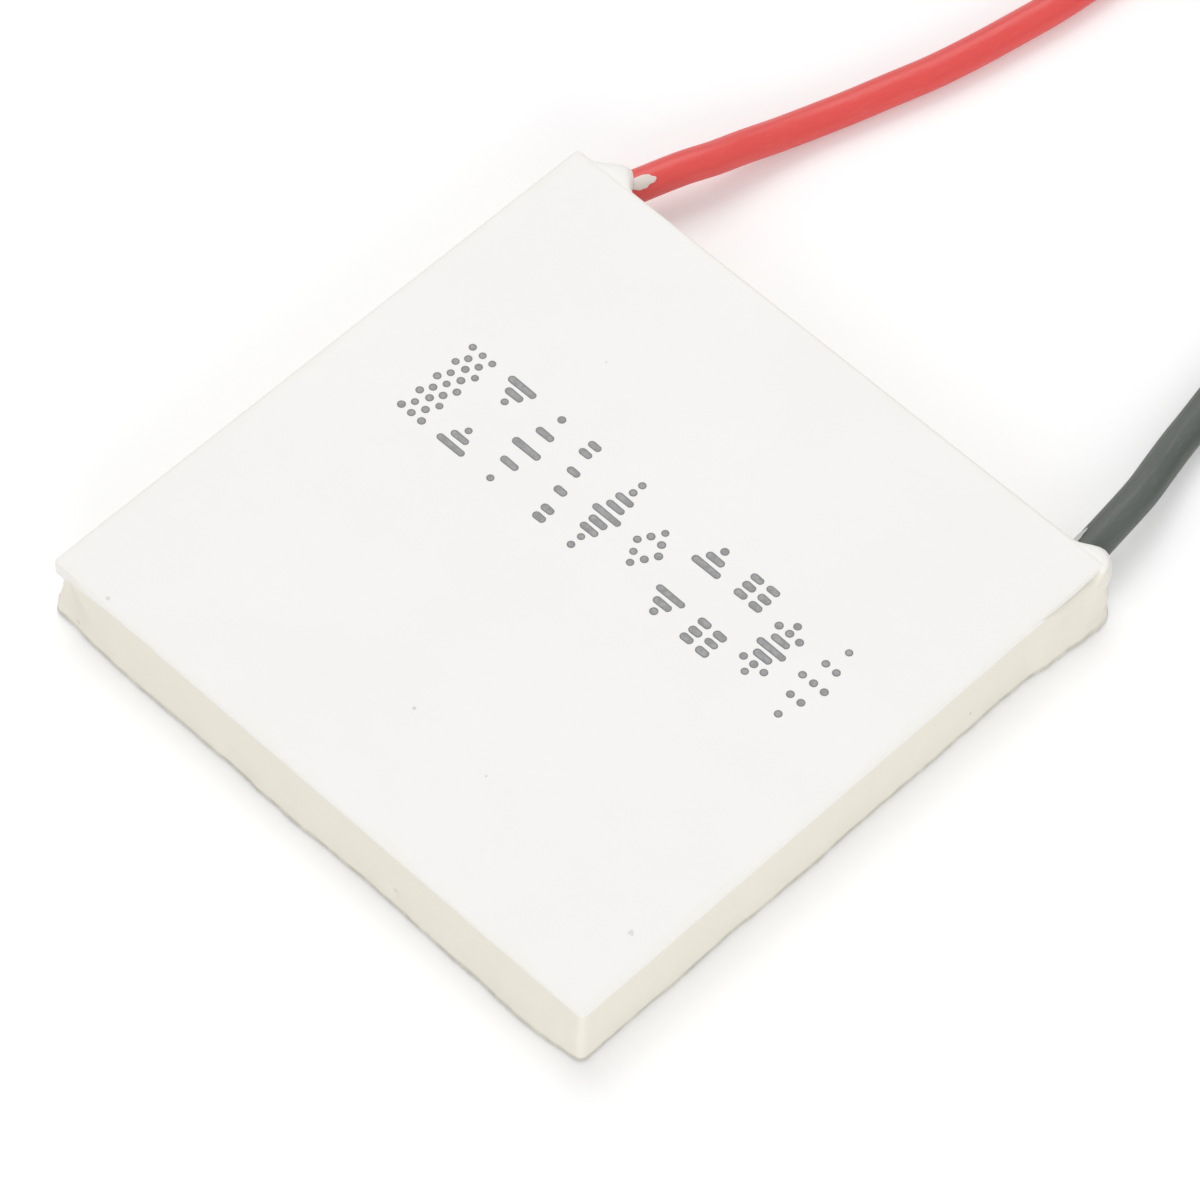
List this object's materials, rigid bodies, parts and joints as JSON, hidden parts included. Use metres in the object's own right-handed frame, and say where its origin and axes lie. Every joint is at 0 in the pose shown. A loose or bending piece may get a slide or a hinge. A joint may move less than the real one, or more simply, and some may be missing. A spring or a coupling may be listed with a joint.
{
  "type": "thermoelectric cooling module",
  "caption": "Flat square thermoelectric cooling module: white ceramic plates over rows of pellets and copper tabs, a cream sealed edge, and a red and a black lead.",
  "frame": {"origin": "centre of the hot side's outer face, on the surface that the module lies on", "axes": "+Z from the hot side to the cold side, +Y towards the edge that both leads leave, the red lead on the -X side"},
  "size_m": [0.0465, 0.0776, 0.0035],
  "materials": {
    "cold_ceramic": "matt white fired alumina, faintly mottled",
    "hot_ceramic": "matt white fired alumina",
    "sealant": "satin cream silicone",
    "copper": "bright copper, lightly tinned at the joints",
    "n_pellet": "dull silver-grey bismuth telluride",
    "p_pellet": "dull warm-grey bismuth telluride",
    "solder": "satin solder",
    "tinned_wire": "tinned copper strands",
    "red_insulation": "satin red insulation",
    "black_insulation": "satin black insulation"
  },
  "bodies": {
    "root": {"black_conductor": "tinned_wire", "black_lead": "black_insulation", "black_lead_coil": "black_insulation", "black_lead_tip": "tinned_wire", "black_solder_joint": "solder", "cold_link_tabs_front": "copper", "cold_link_tabs_rear": "copper", "cold_side_plate": "cold_ceramic", "cold_tabs_columns_01_02": "copper", "cold_tabs_columns_03_04": "copper", "cold_tabs_columns_05_06": "copper", "cold_tabs_columns_07_08": "copper", "cold_tabs_columns_09_10": "copper", "cold_tabs_columns_11_12": "copper", "edge_sealant": "sealant", "hot_side_plate": "hot_ceramic", "hot_tabs_columns_01_02": "copper", "hot_tabs_columns_03_04": "copper", "hot_tabs_columns_05_06": "copper", "hot_tabs_columns_07_08": "copper", "hot_tabs_columns_09_10": "copper", "hot_tabs_columns_11_12": "copper", "n_pellets_column_01": "n_pellet", "n_pellets_column_02": "n_pellet", "n_pellets_column_03": "n_pellet", "n_pellets_column_04": "n_pellet", "n_pellets_column_05": "n_pellet", "n_pellets_column_06": "n_pellet", "n_pellets_column_07": "n_pellet", "n_pellets_column_08": "n_pellet", "n_pellets_column_09": "n_pellet", "n_pellets_column_10": "n_pellet", "n_pellets_column_11": "n_pellet", "n_pellets_column_12": "n_pellet", "p_pellets_column_01": "p_pellet", "p_pellets_column_02": "p_pellet", "p_pellets_column_03": "p_pellet", "p_pellets_column_04": "p_pellet", "p_pellets_column_05": "p_pellet", "p_pellets_column_06": "p_pellet", "p_pellets_column_07": "p_pellet", "p_pellets_column_08": "p_pellet", "p_pellets_column_09": "p_pellet", "p_pellets_column_10": "p_pellet", "p_pellets_column_11": "p_pellet", "p_pellets_column_12": "p_pellet", "red_conductor": "tinned_wire", "red_lead": "red_insulation", "red_lead_coil": "red_insulation", "red_lead_tip": "tinned_wire", "red_solder_joint": "solder"}
  },
  "joints": []
}
